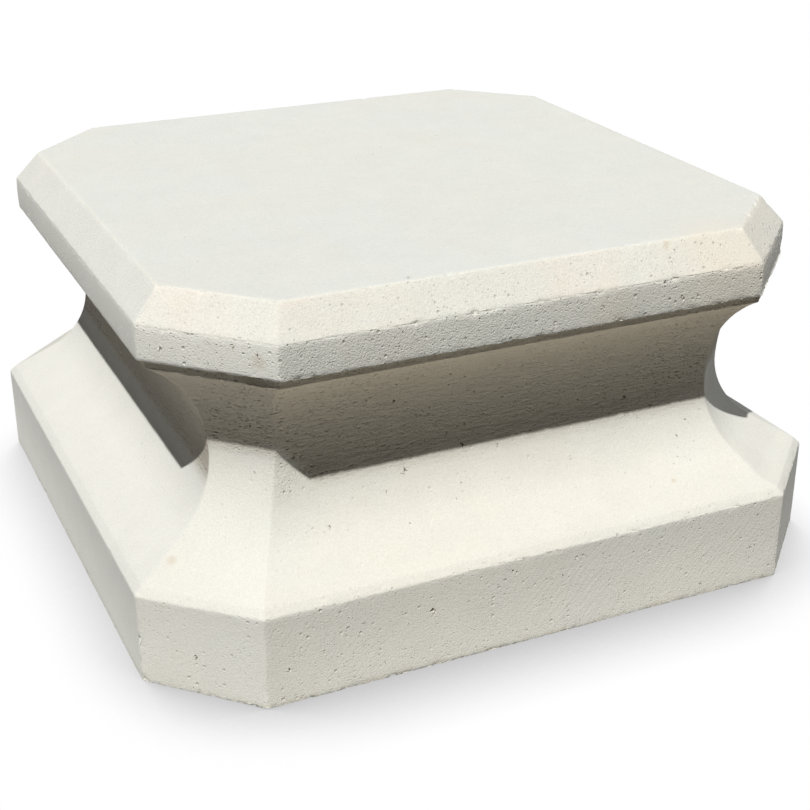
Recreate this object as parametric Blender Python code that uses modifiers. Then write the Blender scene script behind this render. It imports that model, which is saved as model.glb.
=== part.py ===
"""Stone plinth: one squared block with its corners cut off, and a deep cove worked all the way round.

The same moulding runs along the four sides and across the four cut corners, and meets in mitred
arrises. It is built as a mason would set it out: an octagonal section at each height of the moulding,
lofted from the ground to the top face. Sizes are in metres, the base rests on Z = 0, +Z is up.
"""

import math

import bpy
import bmesh

# Base slab: plan size, legs of the 45 degree corner cuts, upright band and the narrow bevel above it
BASE_WIDTH = 0.500
BASE_CORNER_LEG = 0.0615
BASE_BAND_HEIGHT = 0.064
EDGE_BEVEL_RUN = 0.005
EDGE_BEVEL_RISE = 0.0048

# Cove, measured from the base slab's side: a straight splay, then a round to the deepest line
COVE_HEIGHT = 0.142
COVE_DEPTH = 0.0612
SPLAY_ANGLE = math.radians(31.5)
LOWER_ROUND_RADIUS = 0.0565
ROUND_STEPS = 22

# Small upright fillet between the cove and the top slab: how far it stands back under the slab
FILLET_DEPTH = 0.005
CORNER_FILLET_DEPTH = 0.0035
FILLET_HEIGHT = 0.006

# Top slab: plan size, legs of its corner cuts, upright band and the bevel round the top face
TOP_WIDTH = 0.464
TOP_CORNER_LEG = 0.0655
TOP_BAND_HEIGHT = 0.023
TOP_BEVEL_RUN = 0.0175
TOP_BEVEL_RISE = 0.020

# Eased arrises, wherever two faces meet at more than the given angle
ARRIS_WIDTH = 0.0011
ARRIS_SEGMENTS = 2
ARRIS_MIN_ANGLE = math.radians(19.0)

# Finish of the stone
STONE_COLOUR = (0.78, 0.76, 0.70, 1.0)
STONE_ROUGHNESS = 0.9
STONE_METALLIC = 0.0

# Heights that follow from the sizes above
BEVEL_TOP = BASE_BAND_HEIGHT + EDGE_BEVEL_RISE
UNDERSIDE = BASE_BAND_HEIGHT + COVE_HEIGHT
FILLET_FOOT = UNDERSIDE - FILLET_HEIGHT
TOP_BAND_TOP = UNDERSIDE + TOP_BAND_HEIGHT
TOTAL_HEIGHT = TOP_BAND_TOP + TOP_BEVEL_RISE


def corner_distance(width, leg):
    """Distance from the middle of a square to the faces that cut its corners."""
    return (width - leg) / math.sqrt(2.0)


def cove_points(start, deepest, end):
    """Points of the cove from the edge bevel to the foot of the fillet, as (distance, height) pairs.

    start and end are pairs too, and deepest is the distance of the deepest line from the middle.
    A splay leaves start, a round of the lower radius turns it upright, and a second round, tangent
    there, leads out to end.
    """
    centre = deepest + LOWER_ROUND_RADIUS
    tangent = centre - LOWER_ROUND_RADIUS * math.sin(SPLAY_ANGLE)
    tangent_height = start[1] + (start[0] - tangent) * math.tan(SPLAY_ANGLE)
    waist = tangent_height + LOWER_ROUND_RADIUS * math.cos(SPLAY_ANGLE)
    points = []
    for step in range(ROUND_STEPS + 1):
        angle = SPLAY_ANGLE + (math.pi / 2.0 - SPLAY_ANGLE) * step / ROUND_STEPS
        distance = centre - LOWER_ROUND_RADIUS * math.sin(angle)
        points.append((distance, waist - LOWER_ROUND_RADIUS * math.cos(angle)))
    run = end[0] - deepest
    rise = end[1] - waist
    upper_radius = (run * run + rise * rise) / (2.0 * run)
    sweep = 2.0 * math.atan2(run, rise)
    for step in range(1, ROUND_STEPS + 1):
        angle = sweep * step / ROUND_STEPS
        distance = deepest + upper_radius * (1.0 - math.cos(angle))
        points.append((distance, waist + upper_radius * math.sin(angle)))
    return points


def moulding_points():
    """The moulding from the ground to the top face, as (side, corner, height) triples.

    side and corner are the distances of the side faces and of the corner faces from the middle. The
    top slab's corners are cut deeper than the base slab's, and the corner faces of the cove take up
    the difference evenly between the edge bevel and the fillet.
    """
    base_side = BASE_WIDTH / 2.0
    base_corner = corner_distance(BASE_WIDTH, BASE_CORNER_LEG)
    top_side = TOP_WIDTH / 2.0
    top_corner = corner_distance(TOP_WIDTH, TOP_CORNER_LEG)
    bevel_side = base_side - EDGE_BEVEL_RUN
    fillet_side = top_side - FILLET_DEPTH
    fillet_corner = top_corner - CORNER_FILLET_DEPTH
    full_setback = (base_corner - fillet_corner) - (base_side - fillet_side)
    points = [(base_side, base_corner, 0.0), (base_side, base_corner, BASE_BAND_HEIGHT)]
    for side, height in [(bevel_side, BEVEL_TOP)] + cove_points(
        (bevel_side, BEVEL_TOP), base_side - COVE_DEPTH, (fillet_side, FILLET_FOOT)
    ):
        setback = full_setback * (height - BEVEL_TOP) / (FILLET_FOOT - BEVEL_TOP)
        points.append((side, base_corner - (base_side - side) - setback, height))
    points += [
        (fillet_side, fillet_corner, UNDERSIDE),
        (top_side, top_corner, UNDERSIDE),
        (top_side, top_corner, TOP_BAND_TOP),
        (top_side - TOP_BEVEL_RUN, top_corner - TOP_BEVEL_RUN, TOTAL_HEIGHT),
    ]
    return points


def octagon(side, corner, height):
    """The eight points of a section whose sides and cut corners lie at the given distances."""
    other = corner * math.sqrt(2.0) - side
    first_quarter = [(side, other), (other, side)]
    points = []
    for turn in range(4):
        cosine = round(math.cos(turn * math.pi / 2.0))
        sine = round(math.sin(turn * math.pi / 2.0))
        for x, y in first_quarter:
            points.append((x * cosine - y * sine, x * sine + y * cosine, height))
    return points


def loft(work, sections):
    """Skin the sections in order, corner to corner, and close the first and the last with a face."""
    rings = [[work.verts.new(point) for point in points] for points in sections]
    for lower, upper in zip(rings, rings[1:]):
        for i in range(len(lower)):
            work.faces.new((lower[i - 1], lower[i], upper[i], upper[i - 1]))
    work.faces.new(list(reversed(rings[0])))
    work.faces.new(rings[-1])


def carve_plinth(name, collection):
    """Loft an octagonal section at each point of the moulding into one closed solid."""
    work = bmesh.new()
    loft(work, [octagon(side, corner, height) for side, corner, height in moulding_points()])
    bmesh.ops.recalc_face_normals(work, faces=work.faces)
    mesh = bpy.data.meshes.new(name)
    work.to_mesh(mesh)
    work.free()
    plinth = bpy.data.objects.new(name, mesh)
    collection.objects.link(plinth)
    return plinth


def ease_arrises(plinth):
    """Round every arris lightly, as hand-finished stone is left."""
    ease = plinth.modifiers.new("eased_arrises", "BEVEL")
    ease.width = ARRIS_WIDTH
    ease.segments = ARRIS_SEGMENTS
    ease.limit_method = "ANGLE"
    ease.angle_limit = ARRIS_MIN_ANGLE
    ease.use_clamp_overlap = True


def stone_material():
    """Pale sawn limestone."""
    material = bpy.data.materials.new("stone")
    material.use_nodes = True
    shader = material.node_tree.nodes["Principled BSDF"]
    shader.inputs["Base Color"].default_value = STONE_COLOUR
    shader.inputs["Roughness"].default_value = STONE_ROUGHNESS
    shader.inputs["Metallic"].default_value = STONE_METALLIC
    material.diffuse_color = STONE_COLOUR
    return material


def main():
    """Clear the scene and build the plinth."""
    for old in list(bpy.data.objects):
        bpy.data.objects.remove(old)
    part = bpy.data.collections.new("stone_plinth")
    bpy.context.scene.collection.children.link(part)
    plinth = carve_plinth("plinth", part)
    ease_arrises(plinth)
    plinth.data.materials.append(stone_material())


main()
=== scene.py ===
"""Cut-stone plinth, dressed: a block of pale limestone with eased arrises, chips, pits and tool marks.

The visible block is worked from one octagonal outline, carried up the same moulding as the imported
solid. Its arrises are bevelled, its faces divided, and the surface is then weathered inwards only, so
that it stays inside the solid's box. Lengths are in metres.
"""

from __future__ import annotations

import logging
import math
import random
from dataclasses import dataclass, field
from enum import IntEnum
from functools import reduce
from typing import Iterator, Sequence

import bmesh
import bpy
from bmesh.types import BMEdge, BMesh, BMFace, BMLayerItem, BMVert
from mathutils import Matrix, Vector, kdtree, noise

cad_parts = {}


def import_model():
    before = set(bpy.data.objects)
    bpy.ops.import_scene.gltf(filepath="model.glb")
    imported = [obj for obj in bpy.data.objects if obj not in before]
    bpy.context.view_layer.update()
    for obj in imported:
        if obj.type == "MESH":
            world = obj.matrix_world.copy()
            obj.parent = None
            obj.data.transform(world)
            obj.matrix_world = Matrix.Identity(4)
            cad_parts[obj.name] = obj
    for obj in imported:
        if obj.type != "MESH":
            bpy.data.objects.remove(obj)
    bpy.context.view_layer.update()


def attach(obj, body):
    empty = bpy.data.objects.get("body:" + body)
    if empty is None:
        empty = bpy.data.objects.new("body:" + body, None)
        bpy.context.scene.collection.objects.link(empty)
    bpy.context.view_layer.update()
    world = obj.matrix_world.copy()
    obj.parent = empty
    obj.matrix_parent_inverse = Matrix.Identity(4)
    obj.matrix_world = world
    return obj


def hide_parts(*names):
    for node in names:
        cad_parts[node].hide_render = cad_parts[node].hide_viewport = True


LOG = logging.getLogger("plinth")
TINY = 1e-5
SEEN_RAYS = ("Is Camera Ray", "Is Glossy Ray", "Is Transmission Ray")

Colour = tuple[float, float, float, float]
Socket = bpy.types.NodeSocket


def ramp(value: float, start: float, length: float) -> float:
    """0 up to the start, 1 from the start plus the length on, and even in between."""
    return min(1.0, max(0.0, (value - start) / length))


def bevel(work: BMesh, parts: Sequence[object], offset: float, segments: int, affect: str) -> dict:
    """Bevel edges or vertices by an offset, and give the operator's result."""
    return bmesh.ops.bevel(
        work,
        geom=parts,
        offset=offset,
        offset_type="OFFSET",
        segments=segments,
        profile=0.5,
        affect=affect,
        clamp_overlap=True,
        material=-1,
    )


def mesh_from(work: BMesh, name: str) -> bpy.types.Mesh:
    """Turn the worked mesh into mesh data with a name."""
    mesh = bpy.data.meshes.new(name)
    work.to_mesh(mesh)
    work.free()
    return mesh


def put_in_scene(name: str, data: bpy.types.ID) -> bpy.types.Object:
    """Put a new object into the scene."""
    thing = bpy.data.objects.new(name, data)
    bpy.context.scene.collection.objects.link(thing)
    return thing


class Zone(IntEnum):
    """The worked surfaces of the block, from the ground up."""

    BED = 0
    BASE_BAND = 1
    EDGE_BEVEL = 2
    SPLAY = 3
    LOWER_ROUND = 4
    UPPER_ROUND = 5
    FILLET = 6
    SOFFIT = 7
    SLAB_BAND = 8
    TOP_BEVEL = 9
    TOP_FACE = 10


@dataclass(frozen=True)
class Station:
    """One level of the moulding: its height and its distances from the middle of the block."""

    side: float
    corner: float
    height: float
    zone: Zone


@dataclass(frozen=True)
class Moulding:
    """The sizes of the moulding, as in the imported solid, and how closely its levels are spaced."""

    base_width: float = 0.500
    base_corner_leg: float = 0.0615
    base_band: float = 0.064
    edge_run: float = 0.005
    edge_rise: float = 0.0048
    cove_height: float = 0.142
    cove_depth: float = 0.0612
    splay_angle: float = math.radians(31.5)
    lower_radius: float = 0.0565
    fillet_depth: float = 0.005
    corner_fillet_depth: float = 0.0035
    fillet_height: float = 0.006
    top_width: float = 0.464
    top_corner_leg: float = 0.0655
    top_band: float = 0.023
    top_run: float = 0.0175
    top_rise: float = 0.020
    splay_steps: int = 7
    lower_steps: int = 12
    upper_steps: int = 14
    row: float = 0.004
    near_rows: tuple[float, float] = (0.0018, 0.0042)
    near_share: float = 0.3
    bed_insets: tuple[float, ...] = (0.060, 0.012, 0.003, 0.0)
    face_insets: tuple[float, ...] = (0.0018, 0.005, 0.010, 0.020, 0.040)

    @property
    def underside(self) -> float:
        """Height of the top slab's underside."""
        return self.base_band + self.cove_height

    @property
    def height(self) -> float:
        """Height of the whole block."""
        return self.underside + self.top_band + self.top_rise

    @staticmethod
    def corner_distance(width: float, leg: float) -> float:
        """Distance from the middle of a square to the faces that cut its corners."""
        return (width - leg) / math.sqrt(2.0)

    def cove(self, start: tuple[float, float], end: tuple[float, float]) -> list[tuple[float, float, Zone]]:
        """Splay, lower round and upper round of the cove.

        Args:
            start: Distance and height of the splay's outer edge.
            end: Distance and height of the fillet's foot.

        Returns:
            Distance, height and zone of each level, without start and with end.
        """
        deepest = self.base_width / 2 - self.cove_depth
        centre = deepest + self.lower_radius
        tangent = centre - self.lower_radius * math.sin(self.splay_angle)
        foot = start[1] + (start[0] - tangent) * math.tan(self.splay_angle)
        waist = foot + self.lower_radius * math.cos(self.splay_angle)
        levels: list[tuple[float, float, Zone]] = []
        for step in range(1, self.splay_steps + 1):
            share = step / self.splay_steps
            distance = start[0] + (tangent - start[0]) * share
            levels.append((distance, start[1] + (foot - start[1]) * share, Zone.SPLAY))
        for step in range(1, self.lower_steps + 1):
            angle = self.splay_angle + (math.pi / 2 - self.splay_angle) * step / self.lower_steps
            distance = centre - self.lower_radius * math.sin(angle)
            levels.append((distance, waist - self.lower_radius * math.cos(angle), Zone.LOWER_ROUND))
        run = end[0] - deepest
        rise = end[1] - waist
        radius = (run * run + rise * rise) / (2 * run)
        sweep = 2 * math.atan2(run, rise)
        for step in range(1, self.upper_steps + 1):
            angle = sweep * step / self.upper_steps
            distance = deepest + radius * (1 - math.cos(angle))
            levels.append((distance, waist + radius * math.sin(angle), Zone.UPPER_ROUND))
        return levels

    def between(self, low: Station, high: Station) -> Iterator[Station]:
        """Levels on the straight run from low to high, closer together near both ends, then high itself."""
        length = math.dist((low.side, low.height), (high.side, high.height))
        marks = [distance for distance in self.near_rows if distance < length * self.near_share]
        inner = length - 2 * marks[-1] if marks else length
        count = max(1, round(inner / self.row))
        first = marks[-1] if marks else 0.0
        shares = [distance / length for distance in marks]
        shares += [(first + inner * step / count) / length for step in range(1, count)]
        shares += [1 - distance / length for distance in reversed(marks)]
        for share in shares + [1.0]:
            yield Station(
                low.side + (high.side - low.side) * share,
                low.corner + (high.corner - low.corner) * share,
                low.height + (high.height - low.height) * share,
                high.zone,
            )

    def stations(self) -> list[Station]:
        """All levels, from inside the bed, round the moulding, to inside the top face."""
        base_side = self.base_width / 2
        base_corner = self.corner_distance(self.base_width, self.base_corner_leg)
        top_side = self.top_width / 2
        top_corner = self.corner_distance(self.top_width, self.top_corner_leg)
        bevel_top = self.base_band + self.edge_rise
        foot = self.underside - self.fillet_height
        fillet_side = top_side - self.fillet_depth
        fillet_corner = top_corner - self.corner_fillet_depth
        setback = (base_corner - fillet_corner) - (base_side - fillet_side)
        edge_side, edge_corner = base_side - self.edge_run, base_corner - self.edge_run
        rows = [Station(base_side - inset, base_corner - inset, 0.0, Zone.BED) for inset in self.bed_insets]
        rows += self.between(rows[-1], Station(base_side, base_corner, self.base_band, Zone.BASE_BAND))
        rows += self.between(rows[-1], Station(edge_side, edge_corner, bevel_top, Zone.EDGE_BEVEL))
        for side, level, zone in self.cove((edge_side, bevel_top), (fillet_side, foot)):
            back = setback * (level - bevel_top) / (foot - bevel_top)
            rows.append(Station(side, base_corner - (base_side - side) - back, level, zone))
        rows += self.between(rows[-1], Station(fillet_side, fillet_corner, self.underside, Zone.FILLET))
        rows += self.between(rows[-1], Station(top_side, top_corner, self.underside, Zone.SOFFIT))
        band_top = self.underside + self.top_band
        rows += self.between(rows[-1], Station(top_side, top_corner, band_top, Zone.SLAB_BAND))
        face_side, face_corner = top_side - self.top_run, top_corner - self.top_run
        rows += self.between(rows[-1], Station(face_side, face_corner, self.height, Zone.TOP_BEVEL))
        for inset in self.face_insets:
            rows.append(Station(face_side - inset, face_corner - inset, self.height, Zone.TOP_FACE))
        return rows


@dataclass(frozen=True)
class Spot:
    """A place on the block and a radius round it."""

    x: float
    y: float
    z: float
    radius: float

    @property
    def place(self) -> Vector:
        """The middle of the spot."""
        return Vector((self.x, self.y, self.z))


@dataclass(frozen=True)
class HandWork:
    """Where the mason left the true line.

    Each corner of the cove, from back right round to front right, is worked deeper (above nought) or
    shallower (below nought) than the drawing by so much at each height. One arris of the base dips, and
    the slab's upright band is rubbed slightly round. A few arrises are chipped, a few holes are open,
    and the cove is scuffed in one place.
    """

    corner_depths: tuple[tuple[tuple[float, float], ...], ...] = (
        ((0.069, 0.0), (0.105, -0.0012), (0.150, -0.0018), (0.200, -0.0012), (0.206, 0.0)),
        ((0.069, 0.0), (0.105, -0.0016), (0.150, -0.0022), (0.200, -0.0014), (0.206, 0.0)),
        (
            (0.069, 0.0), (0.112, 0.0), (0.142, 0.0006), (0.160, -0.0008),
            (0.185, -0.0018), (0.200, 0.0009), (0.206, 0.0009),
        ),
        (
            (0.0688, 0.0), (0.0735, 0.0031), (0.112, 0.0004), (0.140, -0.0024),
            (0.190, -0.0032), (0.206, -0.0010),
        ),
    )
    dip_corner: int = 2
    dip: float = 0.0020
    dip_fade: float = 0.030
    band_round: float = 0.00035
    chips: tuple[Spot, ...] = (
        Spot(-0.1790, -0.2160, 0.2060, 0.0044),
        Spot(-0.1740, -0.2205, 0.2060, 0.0052),
        Spot(-0.1700, -0.2245, 0.2060, 0.0030),
        Spot(-0.0813, -0.2320, 0.2290, 0.0024),
        Spot(0.0990, -0.2320, 0.2290, 0.0026),
        Spot(0.2320, -0.1665, 0.2120, 0.0034),
        Spot(-0.1050, -0.2500, 0.0005, 0.0026),
        Spot(-0.2500, -0.1885, 0.0020, 0.0034),
        Spot(-0.2500, -0.1885, 0.0300, 0.0036),
    )
    holes: tuple[Spot, ...] = (
        Spot(-0.0772, -0.2500, 0.0446, 0.0022),
        Spot(-0.1762, -0.2500, 0.0274, 0.0017),
        Spot(-0.0231, -0.2500, 0.0560, 0.0015),
        Spot(0.1257, -0.2500, 0.0110, 0.0017),
        Spot(0.0443, -0.2320, 0.2183, 0.0014),
        Spot(0.1030, -0.2320, 0.2130, 0.0019),
        Spot(-0.0724, -0.1946, 0.1096, 0.0020),
        Spot(-0.0756, -0.2023, 0.2490, 0.0014),
        Spot(-0.2185, -0.1796, 0.2146, 0.0012),
        Spot(0.1080, -0.2210, 0.2415, 0.0009),
    )
    scuff: Spot = Spot(-0.1520, -0.1900, 0.1200, 0.018)
    scuff_depth: float = 1.4

    def extra_depth(self, corner: int, height: float) -> float:
        """How much deeper than the drawing a corner's face is worked at a height."""
        marks = self.corner_depths[corner]
        for (low, depth_low), (high, depth_high) in zip(marks, marks[1:]):
            if low <= height <= high:
                return depth_low + (depth_high - depth_low) * (height - low) / (high - low)
        return 0.0

    def drop(self, corner: int, first: bool, height: float, base_band: float) -> float:
        """How far a corner's point is lowered at a height."""
        if corner != self.dip_corner or not first:
            return 0.0
        if height <= base_band:
            return self.dip * height / base_band
        return self.dip * max(0.0, 1 - (height - base_band) / self.dip_fade)


@dataclass(frozen=True)
class Wear:
    """How the surface departs from the true moulding.

    The arris fields are the bevel on every arris and the mesh along it. Waviness and roughness are the
    depths of the slow and the quick noise, each with its bumps to the metre. Breaks are the two noises
    that make an arris ragged, as bumps to the metre and weight. Chips are scoops of a random radius,
    mostly small, whose middles stand off the arris by a share of it. Pits are sunk in two steps. A
    field that ends in least is the share that is left on the smoothest side, or where pits are rarest.
    """

    seed: int = 31
    arris: float = 0.00075
    arris_segments: int = 2
    arris_angle: float = math.radians(10.0)
    arris_cuts: int = 2
    arris_edge: float = 0.0014
    arris_reach: float = 0.0016
    side_columns: int = 112
    corner_columns: int = 28
    column_edge: float = 0.03
    jitter: float = 0.0008
    waviness: float = 0.00035
    wave_scale: float = 38.0
    roughness: float = 0.00016
    rough_scale: float = 190.0
    ragged: float = 0.0011
    breaks: tuple[tuple[float, float], ...] = ((300.0, 0.45), (800.0, 0.85))
    break_bias: float = 0.1
    ragged_least: float = 0.25
    top_share: float = 0.3
    chips: int = 1300
    chip_radius: tuple[float, float] = (0.0007, 0.0030)
    chip_skew: int = 5
    chip_stand: tuple[float, float] = (0.45, 0.75)
    named_chip_stand: float = 0.40
    chip_ripple: float = 0.12
    chip_scale: float = 900.0
    chip_margin: float = 0.003
    chip_upright: float = 0.6
    chip_least: float = 0.15
    pit_radius: tuple[float, float] = (0.00055, 0.00125)
    pit_sizes: int = 6
    pit_skew: float = 1.5
    pit_rarity: float = 0.55
    pit_crowding: float = 22.0
    pit_least: float = 0.3
    pit_gain: float = 1.4
    pit_room: float = 0.72
    pit_opening: float = 1.15
    pit_segments: int = 2
    pit_mouth: tuple[float, float] = (0.80, 1.10)
    pit_steps: tuple[tuple[float, float], ...] = ((0.18, 0.75), (0.35, 0.5))
    pit_shove: float = 0.2


@dataclass(frozen=True)
class WeatheringAndPaintedLight:
    """Where the stone carries painted shade, painted light or soil: heights, widths and shares.

    Painted shade is laid under the slab, where the slab's shadow falls in the cove: from one height on the
    sides and from a higher one on the corners, and it turns lighter and browner with height, as painted
    warm bounce light. Next to one corner the painted shade starts as high on the front side as on the
    corner, where the light reaches round it. Paleness is painted light on the slab's upright band.
    """

    # Painted shade under the slab: how strong it is, where it starts on the sides and on the corners, and how
    # fast it fades in.
    shade_tint: float = 0.92
    side_start: float = 0.114
    corner_start: float = 0.137
    shade_fade: float = 0.008
    # Near the front left corner light reaches round the corner, so there the painted shade starts higher.
    lit_round_corner_start: float = 0.322
    lit_round_corner_fade: float = 0.020
    # Painted warm bounce light: the painted shade turns lighter and browner with height, less so on the
    # corners.
    bounce_start: float = 0.130
    bounce_fade: float = 0.065
    corner_bounce: float = 0.55
    ends_start: float = 0.25
    ends_fade: float = 0.45
    ends_least: float = 0.35
    # Painted light on the slab's upright band, stronger on the left and right sides.
    side_band_light: float = 2.0
    rim_grey: float = 0.4
    rim_fade: float = 0.004
    soil_height: float = 0.005


@dataclass(frozen=True)
class Pattern:
    """A noise pattern: its cells to the metre, its detail, its roughness and its span.

    The span is the range of the noise that is spread to 0 and 1, or to two values of its own. Where it
    is empty, the noise is used as it is.
    """

    scale: float
    detail: float
    rough: float
    span: tuple[float, ...] = ()


@dataclass(frozen=True)
class Holes:
    """Scattered round holes, at most one in each cell.

    Radius is where a hole's floor ends and where its rim ends, in cells. Share is how many of the cells
    have a hole, from 0 to 1. Scale is the number of cells to the metre, and stretch the number by axis,
    for holes that are drawn out.
    """

    radius: tuple[float, float]
    share: float
    scale: float = 1.0
    stretch: tuple[float, ...] = ()


@dataclass
class SheetOfNodes:
    """A material's node tree, with short calls for the nodes that the finishes use."""

    material: bpy.types.Material
    coords: Socket = field(init=False)

    FULLY_DEEP = 0.4
    SPOT_CORE = 0.35

    def __post_init__(self) -> None:
        """Turn nodes on and read the object's own coordinates."""
        self.material.use_nodes = True
        self.coords = self.add("ShaderNodeTexCoord").outputs["Object"]

    @property
    def shader(self) -> bpy.types.Node:
        """The Principled shader."""
        return self.material.node_tree.nodes["Principled BSDF"]

    def add(self, kind: str, **values: object) -> bpy.types.Node:
        """Add a node and set its properties."""
        node = self.material.node_tree.nodes.new(kind)
        for name, value in values.items():
            setattr(node, name, value)
        return node

    def feed(self, socket: Socket, value: object) -> None:
        """Link a socket to another, or set its value."""
        if isinstance(value, Socket):
            self.material.node_tree.links.new(value, socket)
        else:
            socket.default_value = value

    def stretched(self, scale: Sequence[float], turn: Sequence[float] = (0.0, 0.0, 0.0)) -> Socket:
        """Object coordinates turned, then scaled by axis."""
        turned = self.add("ShaderNodeMapping")
        self.feed(turned.inputs["Vector"], self.coords)
        turned.inputs["Rotation"].default_value = tuple(turn)
        node = self.add("ShaderNodeMapping")
        self.feed(node.inputs["Vector"], turned.outputs["Vector"])
        node.inputs["Scale"].default_value = tuple(scale)
        return node.outputs["Vector"]

    def cloud(self, pattern: Pattern, vector: Socket | None = None) -> Socket:
        """Noise, on the object's own coordinates or on others."""
        node = self.add("ShaderNodeTexNoise", noise_dimensions="3D")
        self.feed(node.inputs["Vector"], vector or self.coords)
        node.inputs["Scale"].default_value = pattern.scale
        node.inputs["Detail"].default_value = pattern.detail
        node.inputs["Roughness"].default_value = pattern.rough
        return self.spread(node.outputs["Fac"], *pattern.span) if pattern.span else node.outputs["Fac"]

    def math(self, operation: str, first: object, second: object = 0.0) -> Socket:
        """One arithmetic step."""
        node = self.add("ShaderNodeMath", operation=operation)
        self.feed(node.inputs[0], first)
        self.feed(node.inputs[1], second)
        return node.outputs[0]

    def times(self, *values: object) -> Socket:
        """The product of the values."""
        return reduce(lambda first, second: self.math("MULTIPLY", first, second), values)

    def plus(self, *values: object) -> Socket:
        """The sum of the values."""
        return reduce(lambda first, second: self.math("ADD", first, second), values)

    def most(self, *values: object) -> Socket:
        """The largest of the values."""
        return reduce(lambda first, second: self.math("MAXIMUM", first, second), values)

    def swing(self, value: Socket, share: object) -> Socket:
        """A pattern's swing about its middle, times a share."""
        return self.times(self.math("SUBTRACT", value, 0.5), share)

    def spread(
        self, value: object, low: float, high: float, to_low: float = 0.0, to_high: float = 1.0
    ) -> Socket:
        """Map a range to another, clamped."""
        node = self.add("ShaderNodeMapRange", clamp=True)
        self.feed(node.inputs["Value"], value)
        for name, number in (("From Min", low), ("From Max", high), ("To Min", to_low), ("To Max", to_high)):
            node.inputs[name].default_value = number
        return node.outputs["Result"]

    def blend(self, share: object, under: object, over: object, mode: str = "MIX") -> Socket:
        """Mix two colours."""
        node = self.add("ShaderNodeMix", data_type="RGBA", blend_type=mode)
        self.feed(node.inputs[0], share)
        self.feed(node.inputs[6], under)
        self.feed(node.inputs[7], over)
        return node.outputs[2]

    def painted(self, name: str) -> Socket:
        """A value painted on the mesh."""
        return self.add("ShaderNodeAttribute", attribute_type="GEOMETRY", attribute_name=name).outputs["Fac"]

    def holes(self, kind: Holes) -> Socket:
        """How deep the surface lies in scattered holes: 0 beside them, 1 on the floor of the deepest."""
        node = self.add("ShaderNodeTexVoronoi", feature="F1")
        self.feed(node.inputs["Vector"], self.stretched(kind.stretch) if kind.stretch else self.coords)
        node.inputs["Scale"].default_value = kind.scale
        picked = self.add("ShaderNodeSeparateColor")
        self.feed(picked.inputs[0], node.outputs["Color"])
        depth = self.spread(picked.outputs[0], 1.0 - kind.share, 1.0 - kind.share * self.FULLY_DEEP)
        return self.times(self.spread(node.outputs["Distance"], *kind.radius, 1.0, 0.0), depth)

    def granules(self, scale: float) -> Socket:
        """Rounded grains, so many to the metre: 1 on top of each, falling to the creases between them."""
        node = self.add("ShaderNodeTexVoronoi", feature="F1")
        self.feed(node.inputs["Vector"], self.coords)
        node.inputs["Scale"].default_value = scale
        return self.math("SUBTRACT", 1.0, node.outputs["Distance"])

    def near(self, spot: Spot) -> Socket:
        """1 in the middle of a spot, falling to 0 at its radius."""
        node = self.add("ShaderNodeVectorMath", operation="DISTANCE")
        self.feed(node.inputs[0], self.coords)
        node.inputs[1].default_value = tuple(spot.place)
        return self.spread(node.outputs["Value"], spot.radius * self.SPOT_CORE, spot.radius, 1.0, 0.0)


@dataclass(frozen=True)
class Palette:
    """The stone's own colours, those that weather and rust have given it, and the colours of painted shade,
    painted bounce light and painted side light.
    """

    cream: Colour = (0.800, 0.785, 0.715, 1.0)
    grey: Colour = (0.780, 0.778, 0.725, 1.0)
    cool: Colour = (0.748, 0.769, 0.746, 1.0)
    # Painted light: the lighter, cooler colour painted on the left and right sides.
    sawn: Colour = (0.860, 0.862, 0.825, 1.0)
    warm: Colour = (0.850, 0.765, 0.655, 1.0)
    blush: Colour = (0.860, 0.760, 0.620, 1.0)
    # Painted shade: the darkest colour painted under the slab, where its shadow falls.
    shade_under_slab: Colour = (0.520, 0.480, 0.415, 1.0)
    # Painted warm bounce light: the lighter, browner colour at the top of the painted shade.
    bounce_brown: Colour = (0.740, 0.655, 0.515, 1.0)
    rust: Colour = (0.520, 0.330, 0.150, 1.0)
    ochre: Colour = (0.740, 0.640, 0.450, 1.0)
    soil: Colour = (0.300, 0.250, 0.180, 1.0)


@dataclass(frozen=True)
class Tones:
    """How strongly each pattern shows in the stone's colour."""

    fleck: float = 0.30
    mottle: float = 0.16
    cloudy: float = 0.09
    streaky: float = 0.40
    blotchy: float = 0.75
    # Painted light: how much lighter the slab's upright band is painted.
    painted_band_light: float = 0.075
    plain: float = 0.65
    coarse: float = 0.5
    tooled: float = 0.9
    bevelled: float = 0.3
    cool: float = 0.8
    cool_mottle: float = 0.9
    # Painted light: how much of the lighter, cooler side colour is painted on the left and right sides.
    sawn: float = 0.9
    warm: float = 0.14
    warm_bevel: float = 0.50
    blush: float = 0.55
    rust: float = 0.22
    ochre: float = 0.35
    crumbs: float = 0.6
    # Pits and pores are darkened partly as dust and partly as painted shade in their hollows.
    pit_dust_and_shade: float = 0.28
    tooled_pit_dust_and_shade: float = 0.35
    torn: float = 0.60
    specks: float = 0.45


@dataclass(frozen=True)
class Relief:
    """How high each pattern stands in the bump, and the bump's own strength and distance."""

    grain: float = 0.28
    coarse_grain: float = 0.35
    sand: float = 0.30
    granules: float = 0.34
    lumps: float = 0.36
    pores: float = 2.4
    torn: float = 1.8
    streaks: float = 1.5
    scores: float = 0.55
    strength: float = 0.7
    distance: float = 0.0009


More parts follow.
